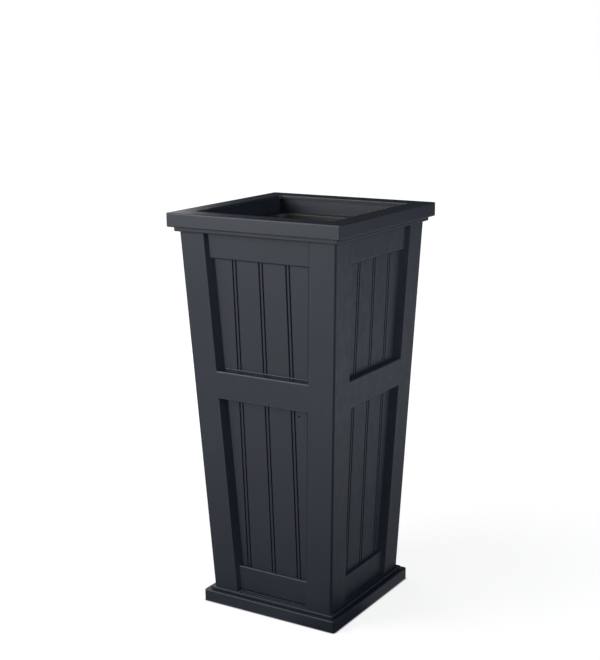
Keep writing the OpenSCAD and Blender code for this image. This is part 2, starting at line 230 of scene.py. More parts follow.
# The screws: the driver socket, the eased rim of the head, and the point. The depths are
# below the face of the head.
SOCKET_R = 1.3
SOCKET_MOUTH_R = 1.4
SOCKET_MOUTH_D = 0.15
SOCKET_D = 1.2
SOCKET_TIP_D = 1.4
RIM_W = 0.15
RIM_TOP_D = 0.05
RIM_FOOT_D = 0.2
POINT_L = 3
POINT_R = 0.3

# Steps on an arris and on a round corner, and the angle from which an edge shades as sharp
ARC_STEPS = 5
CORNER_STEPS = 12
SHARP = math.radians(32)
# The distances at which doubled points are joined, in finished pieces and in CAD nodes
WELD = 2e-6
CAD_WELD = 1e-6


def half_w(z):
    """Half width of the body at a height."""
    return BODY_FOOT_W / 2 + z * LEAN_RUN


def behind(z, depth):
    """Half width at a height, at a depth behind the sides' faces."""
    return half_w(z) - depth / math.cos(LEAN)


def up_face(z, depth=0.0):
    """Height up a side's leaning face of a level, at a depth behind it."""
    return (z - depth * math.sin(LEAN)) / math.cos(LEAN)


def side_frame(side):
    """The frame of a side's leaning face: x along it, y inward and z up it, from the middle
    of its foot."""
    return (Matrix.Rotation(math.radians(90 * side), 4, "Z")
            @ Matrix.Translation((0, -BODY_FOOT_W / 2, 0))
            @ Matrix.Rotation(LEAN, 4, "X"))


def edge_frame(side, hand):
    """A side's frame, moved and turned to one of its slanting edges. Its x runs outward, so
    the left one is mirrored."""
    return (side_frame(side)
            @ Matrix.Scale(hand, 4, (1, 0, 0))
            @ Matrix.Translation((BODY_FOOT_W / 2, 0, 0))
            @ Matrix.Rotation(EDGE_LEAN, 4, "Y"))


def bay_edge(depth, v):
    """Half width between the stiles of a side, at a depth and a height up the face."""
    inset = STILE_FACE_W + REVEAL_RUN * min(depth / PANEL_DEPTH, 1)
    return BODY_FOOT_W / 2 + v * math.tan(EDGE_LEAN) - inset / math.cos(EDGE_LEAN)


def rebate_edge(v, gap=0.0):
    """Half width between the stiles' rebates, at a height up the face."""
    return BODY_FOOT_W / 2 + v * math.tan(EDGE_LEAN) - (REBATE_U + gap) / math.cos(EDGE_LEAN)


def eased(corners, spread=HIGHLIGHT_FADE, closed=True):
    """Round the corners of an outline, each (a, b, radius, tag). Gives (a, b, edge, tag),
    where edge is 1 on the arcs and falls to 0 at the points beside them."""
    points = []
    last = len(corners) - 1
    for i, (a, b, radius, tag) in enumerate(corners):
        here = Vector((a, b))
        if radius == 0 or (not closed and i in (0, last)):
            points.append((a, b, 0.0, tag))
            continue
        to_before = (Vector(corners[i - 1][:2]) - here).normalized()
        to_after = (Vector(corners[(i + 1) % len(corners)][:2]) - here).normalized()
        half = to_before.angle(to_after) / 2
        start = here + to_before * radius / math.tan(half)
        end = here + to_after * radius / math.tan(half)
        centre = here + (to_before + to_after).normalized() * radius / math.sin(half)
        turn = math.pi - 2 * half
        points.append((*(start + to_before * spread), 0.0, tag))
        for step in range(ARC_STEPS + 1):
            t = step / ARC_STEPS
            ray = ((start - centre) * math.sin((1 - t) * turn)
                   + (end - centre) * math.sin(t * turn)) / math.sin(turn)
            points.append((*(centre + ray), 1.0, tag))
        points.append((*(end + to_after * spread), 0.0, tag))
    return points


def close(bm):
    """Join a solid's doubled points and turn its faces outward."""
    bmesh.ops.remove_doubles(bm, verts=bm.verts, dist=WELD)
    bmesh.ops.recalc_face_normals(bm, faces=bm.faces)


def make(name, points, faces, edges, material, body, nodes):
    """Make a finished piece from points in millimetres, in place of CAD nodes. The edge
    values tell its material how much painted highlight each point gets."""
    mesh = bpy.data.meshes.new(name)
    mesh.from_pydata([point * MM for point in points], [], faces)
    # The edge attribute carries the painted highlight on the arrises
    attribute = mesh.attributes.new("edge", "FLOAT", "POINT")
    attribute.data.foreach_set("value", edges)
    bm = bmesh.new()
    bm.from_mesh(mesh)
    close(bm)
    for face in bm.faces:
        face.smooth = True
    for edge in bm.edges:
        edge.smooth = len(edge.link_faces) == 2 and edge.calc_face_angle() < SHARP
    bm.to_mesh(mesh)
    bm.free()
    mesh.materials.append(material)
    piece = bpy.data.objects.new(name, mesh)
    bpy.context.scene.collection.objects.link(piece)
    weighted = piece.modifiers.new("weighted_normals", "WEIGHTED_NORMAL")
    weighted.keep_sharp = True
    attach(piece, body)
    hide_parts(*nodes)
    return piece


class Shell:
    """Points, faces and edge values of a piece that is made from several parts."""

    def __init__(self):
        self.points = []
        self.faces = []
        self.edges = []

    def add(self, points, faces, edges):
        first = len(self.points)
        self.points += points
        self.edges += edges
        self.faces += [tuple(first + i for i in face) for face in faces]

    def rings(self, profile, closed=True, steps=CORNER_STEPS, place=None):
        """Sweep a profile of (half width, height, edge, corner centre) round the axis."""
        place = place or Matrix.Identity(4)
        count = 4 * (steps + 1)
        points = []
        edges = []
        for half, z, edge, centre in profile:
            for corner, (sx, sy) in enumerate(((1, 1), (-1, 1), (-1, -1), (1, -1))):
                for step in range(steps + 1):
                    angle = math.radians(90 * (corner + step / steps))
                    points.append(place @ Vector((
                        sx * centre + (half - centre) * math.cos(angle),
                        sy * centre + (half - centre) * math.sin(angle), z)))
                    edges.append(edge)
        faces = []
        for i in range(len(profile) if closed else len(profile) - 1):
            below = i * count
            above = (i + 1) % len(profile) * count
            for j in range(count):
                k = (j + 1) % count
                faces.append((below + j, below + k, above + k, above + j))
        self.add(points, faces, edges)

    def loft(self, rows, edges):
        """Join closed rows of points one above the other, and close both ends."""
        count = len(rows[0])
        points = [point for row in rows for point in row]
        faces = []
        for i in range(len(rows) - 1):
            for j in range(count):
                k = (j + 1) % count
                below = i * count
                above = below + count
                faces.append((below + j, below + k, above + k, above + j))
        faces.append(tuple(range(count)))
        faces.append(tuple(range(len(points) - count, len(points))))
        self.add(points, faces, edges)

    def make(self, name, material, body, nodes, slot):
        return make(name, self.points, self.faces, self.edges, material, body, nodes)


# Materials

def shader(name):
    """A new material, with its nodes and links."""
    material = bpy.data.materials.new(name)
    material.use_nodes = True
    return material, material.node_tree.nodes, material.node_tree.links


def surface(name):
    """A new material, with its main shader and the piece's own coordinates too."""
    material, nodes, links = shader(name)
    return material, nodes, links, nodes["Principled BSDF"], nodes.new("ShaderNodeTexCoord")


def feed(links, value, socket):
    """Give a socket its value, or link it where the value is an output."""
    if isinstance(value, bpy.types.NodeSocket):
        links.new(value, socket)
    else:
        socket.default_value = value


def noise(nodes, links, coords, scale, detail=3.0, stretch=(1, 1, 1), roughness=0.5):
    """A noise texture over the piece's own coordinates, stretched along its grain."""
    mapping = nodes.new("ShaderNodeMapping")
    mapping.inputs["Scale"].default_value = stretch
    texture = nodes.new("ShaderNodeTexNoise")
    texture.inputs["Scale"].default_value = scale
    texture.inputs["Detail"].default_value = detail
    texture.inputs["Roughness"].default_value = roughness
    links.new(coords.outputs["Object"], mapping.inputs["Vector"])
    links.new(mapping.outputs["Vector"], texture.inputs["Vector"])
    return texture.outputs["Fac"]


def remap(nodes, links, value, source, target, curve="LINEAR"):
    """Map a value from one range to another, each (low, high), and keep it in the second."""
    node = nodes.new("ShaderNodeMapRange")
    node.interpolation_type = curve
    node.inputs["From Min"].default_value = source[0]
    node.inputs["From Max"].default_value = source[1]
    node.inputs["To Min"].default_value = target[0]
    node.inputs["To Max"].default_value = target[1]
    links.new(value, node.inputs["Value"])
    return node.outputs["Result"]


def mix(nodes, links, factor, first, second):
    """Mix two colours, each a tuple or an output. The node's colours go into its sockets 6
    and 7 and come out of 2."""
    node = nodes.new("ShaderNodeMix")
    node.data_type = "RGBA"
    feed(links, factor, node.inputs[0])
    feed(links, first, node.inputs[6])
    feed(links, second, node.inputs[7])
    return node.outputs[2]


def maths(nodes, links, operation, first, second):
    """A calculation on two values, each a number or an output."""
    node = nodes.new("ShaderNodeMath")
    node.operation = operation
    feed(links, first, node.inputs[0])
    feed(links, second, node.inputs[1])
    return node.outputs[0]


def bump(nodes, links, bsdf, *layers):
    """Chain bumps of (height, distance in metres)."""
    below = None
    for height, distance in layers:
        node = nodes.new("ShaderNodeBump")
        node.inputs["Distance"].default_value = distance
        links.new(height, node.inputs["Height"])
        if below:
            links.new(below, node.inputs["Normal"])
        below = node.outputs["Normal"]
    links.new(below, bsdf.inputs["Normal"])


def srgb(code):
    """A colour from its web code, as linear values."""
    values = [int(code[i:i + 2], 16) / 255 for i in (0, 2, 4)]
    return (*(v / 12.92 if v <= 0.04045 else ((v + 0.055) / 1.055) ** 2.4 for v in values), 1.0)


def moulded(name, dark, light, painted_highlight_colour, roughness, skin_scale=900, skin_depth=0.00002):
    """Moulded board: cloudy tone, uneven gloss, a fine skin and a painted highlight on its
    arrises.
    """
    material, nodes, links, bsdf, coords = surface(name)
    cloud = noise(nodes, links, coords, scale=5, detail=4)
    mottle = noise(nodes, links, coords, scale=70, detail=5, stretch=(1, 1, 0.6), roughness=0.6)
    skin = noise(nodes, links, coords, scale=skin_scale, detail=2)
    tone = mix(nodes, links, remap(nodes, links, cloud, (0.3, 0.7), (0, 1)), dark, light)
    tone = mix(nodes, links, remap(nodes, links, mottle, (0.35, 0.7), (0, 0.3)), tone, dark)
    edge = nodes.new("ShaderNodeAttribute")
    edge.attribute_name = "edge"
    # The painted highlight on the arrises is uneven, and covers half where an edge value is 1
    uneven_highlight = remap(nodes, links, mottle, (0.3, 0.65), (0.35, 1))
    half = maths(nodes, links, "MULTIPLY", uneven_highlight, 0.5)
    painted_highlight_share = maths(nodes, links, "MULTIPLY", edge.outputs["Fac"], half)
    links.new(mix(nodes, links, painted_highlight_share, tone, painted_highlight_colour), bsdf.inputs["Base Color"])
    gloss = remap(nodes, links, mottle, (0.3, 0.7), (roughness - 0.05, roughness + 0.06))
    links.new(gloss, bsdf.inputs["Roughness"])
    bump(nodes, links, bsdf, (cloud, 0.0004), (mottle, 0.00006), (skin, skin_depth))
    return material


def timber(name, along):
    """Sawn softwood with its grain along one axis."""
    material, nodes, links, bsdf, coords = surface(name)
    stretch = tuple(0.06 if axis == along else 1.0 for axis in range(3))
    rings = noise(nodes, links, coords, scale=110, detail=2, stretch=stretch, roughness=0.4)
    fibre = noise(nodes, links, coords, scale=700, detail=4, stretch=stretch, roughness=0.6)
    cloud = noise(nodes, links, coords, scale=9, detail=3)
    ringed = remap(nodes, links, rings, (0.38, 0.62), (0, 1))
    tone = mix(nodes, links, ringed, srgb("a49a80"), srgb("857a60"))
    torn = remap(nodes, links, fibre, (0.4, 0.7), (0, 0.45))
    tone = mix(nodes, links, torn, tone, srgb("6b634f"))
    greened = remap(nodes, links, cloud, (0.35, 0.7), (0, 0.35))
    tone = mix(nodes, links, greened, tone, srgb("8d9078"))
    links.new(tone, bsdf.inputs["Base Color"])
    links.new(remap(nodes, links, fibre, (0.3, 0.7), (0.7, 0.85)), bsdf.inputs["Roughness"])
    bump(nodes, links, bsdf, (rings, 0.0002), (fibre, 0.0001))
    return material


def rubber():
    """Matt rubber with a fine skin."""
    material, nodes, links, bsdf, coords = surface("rubber_black")
    skin = noise(nodes, links, coords, scale=1400)
    links.new(mix(nodes, links, skin, srgb("101010"), srgb("1c1c1b")), bsdf.inputs["Base Color"])
    links.new(remap(nodes, links, skin, (0.3, 0.7), (0.68, 0.82)), bsdf.inputs["Roughness"])
    bump(nodes, links, bsdf, (skin, 0.00003))
    return material


def steel():
    """Brushed stainless steel."""
    material, nodes, links, bsdf, coords = surface("screw_steel_brushed")
    brush = noise(nodes, links, coords, scale=1200, stretch=(1, 1, 0.2))
    links.new(mix(nodes, links, brush, srgb("9ea2a6"), srgb("c6c9cc")), bsdf.inputs["Base Color"])
    links.new(remap(nodes, links, brush, (0.3, 0.7), (0.26, 0.4)), bsdf.inputs["Roughness"])
    bsdf.inputs["Metallic"].default_value = 1.0
    bump(nodes, links, bsdf, (brush, 0.00001))
    return material


# The third colour of each material is a painted highlight, which the edge values mix in on the
# arrises. The floor panel has no edge values, so it shows none.
SLATE = moulded("shell_slate", srgb("1b2129"), srgb("202833"), srgb("343b46"), 0.4)
BEADBOARD = moulded("beadboard_slate", srgb("1b2129"), srgb("202833"), srgb("2e3540"), 0.42)
LINER_BLACK = moulded("liner_black", srgb("161719"), srgb("1f2022"), srgb("303236"), 0.5,
                      skin_scale=1500, skin_depth=0.00004)
FLOOR_DARK = moulded("floor_board_dark", srgb("2a2b2e"), srgb("36373a"), srgb("4a4c50"), 0.62,
                     skin_scale=500, skin_depth=0.00006)
TIMBER_UP = timber("frame_timber_up", 2)
TIMBER_X = timber("frame_timber_x", 0)
TIMBER_Y = timber("frame_timber_y", 1)
RUBBER = rubber()
STEEL = steel()


# The stiles, one prism each along its edge, cut level at the ends

def stile(side, hand, name):
    at = edge_frame(side, hand)
    inward = (at.to_3x3().inverted()
              @ Matrix.Rotation(math.radians(90 * side), 3, "Z")
              @ Vector((-hand, 1, 0)))
    slant = inward.x / inward.y
    # The round corner runs from the face to the mitre with the next side's stile
    to_mitre = Vector((slant, 1)).normalized()
    centre = Vector((-CORNER_R, CORNER_R))
    along = centre.dot(to_mitre)
    mitre = to_mitre * (along - math.sqrt(along ** 2 - centre.length_squared + CORNER_R ** 2))
    last = math.atan2(mitre.y - centre.y, mitre.x - centre.x)
    corner = []
    for step in range(CORNER_STEPS + 1):
        angle = -math.pi / 2 + (last + math.pi / 2) * step / CORNER_STEPS
        corner.append((centre.x + CORNER_R * math.cos(angle),
                       centre.y + CORNER_R * math.sin(angle), 0.0, None))

    def outline(arris):
        front = eased([
            (-STILE_FACE_W - REVEAL_RUN, PANEL_DEPTH, 0, None),
            (-STILE_FACE_W, 0, arris, None),
            (-CORNER_R, 0, 0, None),
        ], closed=False)[:-1]
        return front + [(-CORNER_R - HIGHLIGHT_FADE, 0, 0.0, None)] + corner + [
            (slant * WALL_T, WALL_T, 0.0, None),
            (-REBATE_U, WALL_T, 0.0, None),
            (-REBATE_U, PANEL_DEPTH, 0.0, None),
        ]

    rows = []
    edges = []
    # Each row is a height, its arris radius and the painted highlight on that arris, which is off
    # beside the mid rail
    for z, arris, painted_highlight in (
            (GROUND_GAP, STILE_ARRIS, STILE_PAINTED_HIGHLIGHT),
            (MID_RAIL_Z - ARRIS_FADE, STILE_ARRIS, STILE_PAINTED_HIGHLIGHT),
            (MID_RAIL_Z, SHUT_ARRIS, 0),
            (MID_RAIL_TOP_Z, SHUT_ARRIS, 0),
            (MID_RAIL_TOP_Z + ARRIS_FADE, STILE_ARRIS, STILE_PAINTED_HIGHLIGHT),
            (WALL_TOP_Z, STILE_ARRIS, STILE_PAINTED_HIGHLIGHT)):
        row = []
        for x, depth, edge, _ in outline(arris):
            up = (z - at[2][0] * x - at[2][1] * depth - at[2][3]) / at[2][2]
            row.append(at @ Vector((x, depth, up)))
            edges.append(edge * painted_highlight)
        rows.append(row)
    shell = Shell()
    shell.loft(rows, edges)
    shell.make(name + "_board", SLATE, "planter", [name], "shell")


# The rails, each a front part between the stiles and a tongue behind their rebates

def rail(side, name, front, tongue_foot, tongue_top, cove=0, painted_highlight=1.0):
    """front is an open outline of (depth, height up the face, radius), from its foot at
    the panel's depth, out round the face and back to that depth. The tongue's foot and top
    are functions that give a height up the face at a depth. A cove softens the angle between
    the sill and the panel, and the last argument is how much painted highlight the arrises get."""
    at = side_frame(side)
    step_depth = PANEL_DEPTH + TONGUE_GAP
    corners = [(d, v, r, painted_highlight) for d, v, r in front]
    if cove:
        d, v, _, _ = corners[-1]
        corners[-1:] = [(d, v, cove, 0.0), (d, v + BEAD_W, 0, painted_highlight)]
    outline = eased(corners, closed=False)
    if cove:
        outline = outline[:-2]
    points = []
    edges = []

    def put(hand, width, d, v, edge=0.0):
        points.append(at @ Vector((hand * width, d, v)))
        edges.append(edge)
        return len(points) - 1

    ends = []
    for hand in (-1, 1):
        face = [put(hand, bay_edge(d, v), d, v, edge * share) for d, v, edge, share in outline]
        lip, step = [
            [put(hand, bay_edge(d, end(d)), d, end(d)) for end in (tongue_foot, tongue_top)]
            for d in (PANEL_DEPTH, step_depth)]
        outer, back = [
            [put(hand, rebate_edge(end(d)), d, end(d)) for end in (tongue_foot, tongue_top)]
            for d in (step_depth, WALL_T)]
        ends.append((face, lip, step, outer, back))
    faces = []
    for face, lip, step, outer, back in ends:
        faces.append(tuple(face + [lip[1], step[1], step[0], lip[0]]))
        faces.append((step[0], step[1], outer[1], outer[0]))
        faces.append((outer[0], outer[1], back[1], back[0]))
    (face_a, lip_a, step_a, outer_a, back_a), (face_b, lip_b, step_b, outer_b, back_b) = ends
    for i in range(len(face_a) - 1):
        faces.append((face_a[i], face_a[i + 1], face_b[i + 1], face_b[i]))
    faces.append((face_a[0], face_b[0], lip_b[0], lip_a[0]))
    faces.append((face_a[-1], face_b[-1], lip_b[1], lip_a[1]))
    for k in (0, 1):
        faces.append((lip_a[k], step_a[k], outer_a[k], back_a[k],
                      back_b[k], outer_b[k], step_b[k], lip_b[k]))
    faces.append((back_a[0], back_a[1], back_b[1], back_b[0]))
    make(name + "_board", points, faces, edges, SLATE, "planter", [name])


def square(v):
    """An end of a tongue that is square to the face, at a height up it."""
    return lambda depth: v


def level(z):
    """An end of a tongue that lies level, at a height above the ground."""
    return lambda depth: up_face(z, depth)


def top_rail(side, name):
    foot = up_face(TOP_RAIL_Z)
    rail(side, name, [
        (PANEL_DEPTH, foot - SETBACK_RISE, 0),
        (RAIL_SETBACK, foot, TOP_RAIL_ARRIS),
        (RAIL_SETBACK, up_face(WALL_TOP_Z, RAIL_SETBACK), 0),
        (PANEL_DEPTH, up_face(WALL_TOP_Z, PANEL_DEPTH), 0),
    ], square(foot - SETBACK_RISE + REBATE_W), level(WALL_TOP_Z))


def mid_rail(side, name):
    foot = up_face(MID_RAIL_Z)
    sill = up_face(MID_RAIL_TOP_Z)
    # The last argument gives the arrises a strong painted highlight
    rail(side, name, [
        (PANEL_DEPTH, foot - SILL_RISE, 0),
        (0, foot, MID_RAIL_ARRIS),
        (0, sill, MID_RAIL_ARRIS),
        (PANEL_DEPTH, sill + SILL_FALL, 0),
    ], square(foot + BACK_LAP), square(sill - BACK_LAP), cove=COVE, painted_highlight=MID_RAIL_PAINTED_HIGHLIGHT)


def bottom_rail(side, name):
    """A rail with a ledge, a small bead and a quirk along its toe."""
    foot = up_face(PLINTH_TOP_Z)
    sill = up_face(BOTTOM_RAIL_Z)
    rail(side, name, [
        (PANEL_DEPTH, up_face(GROUND_GAP, PANEL_DEPTH), 0),
        (TOE_GAP, up_face(GROUND_GAP, TOE_GAP), 0),
        (TOE_GAP, foot, LEDGE_ARRIS),
        (TOE_GAP + LEDGE_W, foot + LEDGE_RISE, 0),
        (TOE_GAP + LEDGE_W, foot + TOE_BEAD_H, TOE_BEAD_ARRIS),
        (RAIL_SETBACK + TOE_QUIRK_D, foot + TOE_BEAD_H, 0),
        (RAIL_SETBACK, foot + TOE_H + TOE_QUIRK_RISE, TOE_TOP_ARRIS),
        (RAIL_SETBACK, sill, BOTTOM_RAIL_ARRIS),
        (PANEL_DEPTH, sill + SILL_FALL / 2, 0),
    ], level(GROUND_GAP), square(sill + SETBACK_RISE - REBATE_W))


# The beadboard panels

def bead_profile(centre):
    """Points of one bead between its grooves, as (x, depth, edge)."""
    groove_foot = PANEL_DEPTH + GROOVE_D
    half = BEAD_W / 2 + GROOVE_W
    left = [(-half - LIP_R - LIP_MARGIN, PANEL_DEPTH, 0.0)]
    # The rounded lips and the crown carry a painted highlight
    for step in range(LIP_STEPS + 1):
        angle = LIP_TURN * step / LIP_STEPS
        left.append((-half - LIP_R + LIP_R * math.sin(angle),
                     PANEL_DEPTH + LIP_R * (1 - math.cos(angle)), BEAD_PAINTED_HIGHLIGHT))
    left.append((-half + GROOVE_SLOPE, groove_foot, 0.0))
    crown = []
    for step in range(CROWN_STEPS + 1):
        angle = math.pi * (1 - step / CROWN_STEPS)
        across = math.copysign(abs(math.cos(angle)) ** CROWN, math.cos(angle))
        rise = abs(math.sin(angle)) ** CROWN
        crown.append((BEAD_W / 2 * across, groove_foot - GROOVE_D * rise, BEAD_PAINTED_HIGHLIGHT))
    right = [(-x, depth, edge) for x, depth, edge in reversed(left)]
    return [(centre + x, depth, edge) for x, depth, edge in left + crown + right]


def panel(side, name, foot, top, vent=False):
    """A panel with three beads, between the ends of its rebates up the face."""
    at = side_frame(side)
    beads = []
    for i in (-1, 0, 1):
        beads += bead_profile(i * BOARD_W)
    rows = []
    edges = []
    for v in (foot + PANEL_GAP, top - PANEL_GAP):
        half = rebate_edge(v, PANEL_GAP)
        outline = [(-half, PANEL_DEPTH, 0.0)] + beads + [
            (half, PANEL_DEPTH, 0.0), (half, WALL_T, 0.0), (-half, WALL_T, 0.0)]
        rows.append([at @ Vector((x, depth, v)) for x, depth, _ in outline])
        edges += [edge for _, _, edge in outline]
    shell = Shell()
    shell.loft(rows, edges)
    piece = shell.make(name + "_beadboard", BEADBOARD, "planter", [name], "beadboard")
    if vent:
        drill = Shell()
        place = (at @ Matrix.Translation((BOARD_W + VENT_IN, 0, up_face(MID_RAIL_Z) - VENT_DROP))
                 @ Matrix.Rotation(math.radians(-90), 4, "X"))
        drill.rings([
            (0, PANEL_DEPTH - DRILL_RUN, 0, 0),
            (VENT_R + VENT_EASE, PANEL_DEPTH - DRILL_RUN, 0, 0),
            (VENT_R + VENT_EASE, PANEL_DEPTH, 0, 0),
            (VENT_R, PANEL_DEPTH + VENT_EASE, 0, 0),
            (VENT_R, WALL_T + DRILL_RUN, 0, 0),
            (0, WALL_T + DRILL_RUN, 0, 0),
        ], closed=False, steps=8, place=place)
        cut(piece, drill)


def cut(piece, shell):
    """Take a shell's solid out of a piece, ahead of the piece's weighted normals."""
    mesh = bpy.data.meshes.new("cutter")
    mesh.from_pydata([point * MM for point in shell.points], [], shell.faces)
    bm = bmesh.new()
    bm.from_mesh(mesh)
    close(bm)
    bm.to_mesh(mesh)
    bm.free()
    cutter = bpy.data.objects.new("cutter", mesh)
    bpy.context.scene.collection.objects.link(cutter)
    boolean = piece.modifiers.new("cut", "BOOLEAN")
    boolean.object = cutter
    boolean.operation = "DIFFERENCE"
    boolean.solver = "EXACT"
    piece.modifiers.move(len(piece.modifiers) - 1, 0)
    weighted = piece.modifiers["weighted_normals"]
    weighted.show_viewport = False
    depsgraph = bpy.context.evaluated_depsgraph_get()
    result = bpy.data.meshes.new_from_object(piece.evaluated_get(depsgraph))
    piece.modifiers.remove(boolean)
    weighted.show_viewport = True
    bm = bmesh.new()
    bm.from_mesh(result)
    bmesh.ops.dissolve_degenerate(bm, dist=WELD, edges=bm.edges)
    bm.to_mesh(result)
    bm.free()
    piece.data = result
    bpy.data.objects.remove(cutter)


for side, side_name in enumerate(SIDES):
    for hand_name, hand in HANDS.items():
        stile(side, hand, f"{side_name}_{hand_name}_stile")
    top_rail(side, f"{side_name}_top_rail")
    mid_rail(side, f"{side_name}_mid_rail")
    bottom_rail(side, f"{side_name}_bottom_rail")
    panel(side, f"{side_name}_upper_panel", up_face(MID_RAIL_TOP_Z) - BACK_LAP,
          up_face(TOP_RAIL_Z) - SETBACK_RISE + REBATE_W)
    panel(side, f"{side_name}_lower_panel", up_face(BOTTOM_RAIL_Z) + SETBACK_RISE - REBATE_W,
          up_face(MID_RAIL_Z) + BACK_LAP, vent=side_name == "front")


# The cap, the plinth and their mouldings

def ring_piece(name, profile, painted_highlight=1.0):
    """A board all round the planter, from a profile of (half width, height, radius, corner
    centre). The last argument scales the painted highlight on its arrises."""
    shell = Shell()
    shell.rings([(half, z, edge * painted_highlight, centre) for half, z, edge, centre in eased(profile)])
    shell.make(name + "_board", SLATE, "planter", [name], "shell")


def body_corner(z):
    """Corner centre of a ring's inside, which follows the body's round corners."""
    return half_w(z) - CORNER_R


cap_half = BODY_TOP_W / 2 + CAP_OVERHANG
cap_centre = cap_half - CAP_R
cap_moulding_half = BODY_TOP_W / 2 + CAP_MOULDING_OUT
cap_moulding_centre = cap_moulding_half - CAP_R
recess_half = cap_moulding_half + RING_GAP
mouth_half = behind(WALL_TOP_Z, WALL_T) - CAP_LIP
plinth_half = BODY_FOOT_W / 2 + PLINTH_OUT
plinth_centre = plinth_half - PLINTH_ROUND
plinth_moulding_half = BODY_FOOT_W / 2 + PLINTH_MOULDING_OUT
plinth_moulding_centre = plinth_moulding_half - PLINTH_R
slot_half = plinth_moulding_half - SLOT_IN
slot_centre = slot_half - PLINTH_R

ring_piece("cap", [
    (cap_half, FASCIA_Z, CAP_FOOT_ARRIS, cap_centre),
    (cap_half, HEIGHT, CAP_TOP_ARRIS, cap_centre),
    (mouth_half, HEIGHT, CAP_TOP_ARRIS, mouth_half - MOUTH_R),
    (mouth_half, WALL_TOP_Z, 0, mouth_half - MOUTH_R),
    (recess_half, WALL_TOP_Z, 0, recess_half - CAP_R),
    (recess_half, FASCIA_Z, 0, recess_half - CAP_R),
])
ring_piece("cap_moulding", [
    (cap_moulding_half, CAP_MOULDING_Z, CAP_MOULDING_ARRIS, cap_moulding_centre),
    (cap_moulding_half, WALL_TOP_Z, 0, cap_moulding_centre),
    (behind(WALL_TOP_Z, -RING_GAP), WALL_TOP_Z, 0, body_corner(WALL_TOP_Z)),
    (behind(CAP_MOULDING_Z, -RING_GAP), CAP_MOULDING_Z, 0, body_corner(WALL_TOP_Z)),
])
# The plinth band's arrises get only a faint painted highlight
ring_piece("plinth_band", [
    (plinth_half, FOOT_Z, PLINTH_FOOT_ARRIS, plinth_centre),
    (plinth_half, PLINTH_H, PLINTH_TOP_ARRIS, plinth_centre),
    (plinth_moulding_half + QUIRK_W, PLINTH_H, 0, plinth_moulding_centre),
    (plinth_moulding_half, PLINTH_H - QUIRK_D, 0, plinth_moulding_centre),
    (slot_half, PLINTH_H - QUIRK_D, 0, slot_centre),
    (slot_half, PLINTH_H, 0, slot_centre),
    (behind(PLINTH_H, -RING_GAP), PLINTH_H, 0, body_corner(PLINTH_H)),
    (behind(GROUND_GAP, -RING_GAP), FOOT_Z, 0, body_corner(PLINTH_H)),
], painted_highlight=PLINTH_PAINTED_HIGHLIGHT)
ring_piece("plinth_moulding", [
    (slot_half, PLINTH_H, 0, slot_centre),
    (slot_half, PLINTH_H + SLOT_H, 0, slot_centre),
    (plinth_moulding_half, PLINTH_H + SLOT_H, 0, plinth_moulding_centre),
    (plinth_moulding_half, PLINTH_TOP_Z, PLINTH_MOULDING_ARRIS, plinth_moulding_centre),
    (behind(PLINTH_TOP_Z, -RING_GAP), PLINTH_TOP_Z, 0, body_corner(PLINTH_TOP_Z)),
    (behind(PLINTH_H, -RING_GAP), PLINTH_H, 0, body_corner(PLINTH_TOP_Z)),
])


# The liner, its plug and the foot pads

flange_half = mouth_half - FLANGE_GAP
tub_inset = WALL_T + CLEAT_T + TUB_GAP
tub_centre = behind(TUB_Z, tub_inset) - TUB_R
flange_top = FLANGE_Z + FLANGE_T
liner = Shell()
# Its arcs carry edge values for the painted highlight of its material
liner.rings(eased([
    (DRAIN_R, TUB_Z - BOSS_H, 0, 0),
    (DRAIN_R, TUB_Z + TUB_T, DRAIN_EDGE_R, 0),
    (behind(TUB_Z + TUB_T, tub_inset + TUB_T), TUB_Z + TUB_T, TUB_FLOOR_R, tub_centre),
    (behind(flange_top, tub_inset + TUB_T), flange_top, TUB_MOUTH_R, tub_centre),
    (flange_half, flange_top, FLANGE_TOP_R, flange_half - MOUTH_R),
    (flange_half, FLANGE_Z, FLANGE_EDGE_R, flange_half - MOUTH_R),
    (behind(FLANGE_Z, tub_inset), FLANGE_Z, FLANGE_NECK_R, tub_centre),
    (behind(TUB_Z, tub_inset), TUB_Z, TUB_FOOT_R, tub_centre),
    (DRAIN_R + BOSS_WALL, TUB_Z, BOSS_NECK_R, 0),
    (DRAIN_R + BOSS_WALL, TUB_Z - BOSS_H, DRAIN_EDGE_R, 0),
], spread=LINER_HIGHLIGHT_FADE))
liner.make("liner_tub", LINER_BLACK, "liner", ["liner"], "liner_plastic")

plug_r = DRAIN_R - PLUG_GAP
plug_seat = TUB_Z - BOSS_H - PLUG_SEAT_GAP
plug = Shell()
plug.rings(eased([
    (0, TUB_Z + TUB_T / 2, 0, 0),
    (plug_r, TUB_Z + TUB_T / 2, PLUG_TIP_R, 0),
    (plug_r, plug_seat, 0, 0),
    (plug_r + PLUG_HEAD_OUT, plug_seat, PLUG_HEAD_TOP_R, 0),
    (plug_r + PLUG_HEAD_OUT, plug_seat - PLUG_HEAD_T, PLUG_HEAD_FOOT_R, 0),
    (0, plug_seat - PLUG_HEAD_T, 0, 0),
], closed=False, spread=RUBBER_EDGE_FADE), closed=False)
plug.make("drain_plug_rubber", RUBBER, "drain_plug", ["drain_plug"], "rubber")

